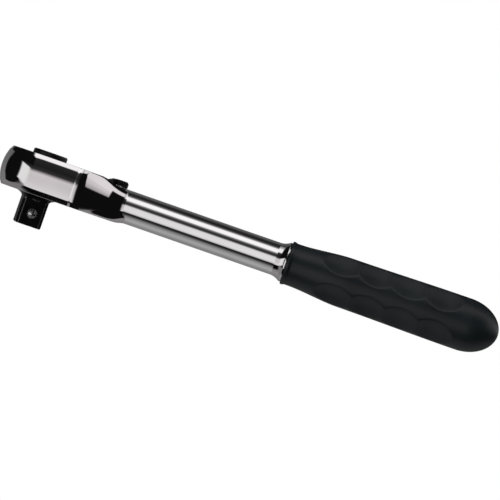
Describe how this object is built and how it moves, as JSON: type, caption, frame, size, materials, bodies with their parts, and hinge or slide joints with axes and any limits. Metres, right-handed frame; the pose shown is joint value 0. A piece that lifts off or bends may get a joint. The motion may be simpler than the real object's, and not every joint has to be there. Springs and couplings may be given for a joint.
{
  "type": "ratchet wrench",
  "caption": "Reversible pear-head ratchet wrench with a square drive, a quick-release button, a reversing lever and a dimpled soft grip.",
  "frame": {"origin": "on the drive axis, at the centre of the square's end face", "axes": "+X along the handle towards the grip, +Z along the drive axis from the square towards the button"},
  "size_m": [0.25, 0.041, 0.0368],
  "materials": {
    "polished_chrome": "mirror polished chrome plating",
    "soft_rubber": "matte moulded rubber",
    "blackened_steel": "black manganese phosphate, lightly oiled",
    "black_oxide_steel": "black oxide, satin",
    "bright_steel": "ground bright steel",
    "seal_rubber": "smooth black rubber"
  },
  "bodies": {
    "handle": {"handle_forging": "polished_chrome", "grip_sleeve": "soft_rubber", "cover_plate": "polished_chrome", "cover_screws": "blackened_steel", "thrust_washer": "bright_steel", "spring_washer": "bright_steel", "pawl_pivot": "bright_steel"},
    "drive": {"drive_gear": "blackened_steel", "drive_seal": "seal_rubber", "button_ring": "bright_steel", "release_spring": "bright_steel"},
    "release": {"release_button": "black_oxide_steel", "release_pin": "blackened_steel"},
    "ball": {"detent_ball": "bright_steel"},
    "pawl": {"pawl": "blackened_steel"},
    "lever": {"reversing_lever": "black_oxide_steel", "lever_seal": "seal_rubber", "lever_ring": "bright_steel", "plunger_spring": "bright_steel"},
    "plunger": {"pawl_plunger": "bright_steel"}
  },
  "joints": [
    {"name": "drive_spin", "type": "hinge", "parent": "handle", "child": "drive", "pos_m": [0, 0, 0.024], "axis": [0, 0, 1], "continuous": true},
    {"name": "lever_swing", "type": "hinge", "parent": "handle", "child": "lever", "pos_m": [0.0266, 0, 0.024], "axis": [0, 0, 1], "range_deg": [-48, 0]},
    {"name": "pawl_swing", "type": "hinge", "parent": "handle", "child": "pawl", "pos_m": [0.0174, 0, 0.024], "axis": [0, 0, 1], "range_deg": [0, 13]},
    {"name": "release_slide", "type": "slide", "parent": "drive", "child": "release", "axis": [0, 0, -1], "range_m": [0, 0.0022], "stiffness_N_per_m": 1500, "springref_m": -0.004, "deforming": ["release_spring"]},
    {"name": "ball_slide", "type": "slide", "parent": "drive", "child": "ball", "axis": [-0.2079, 0.9781, 0], "range_m": [0, 0.00105]},
    {"name": "plunger_slide", "type": "slide", "parent": "lever", "child": "plunger", "axis": [0.9135, 0.4067, 0], "range_m": [0, 0.0006], "stiffness_N_per_m": 800, "springref_m": -0.002}
  ],
  "couplings": [
    {"joint": "pawl_swing", "follows": "lever_swing", "ratio": -0.2708},
    {"joint": "ball_slide", "follows": "release_slide", "ratio": 0.4772}
  ]
}
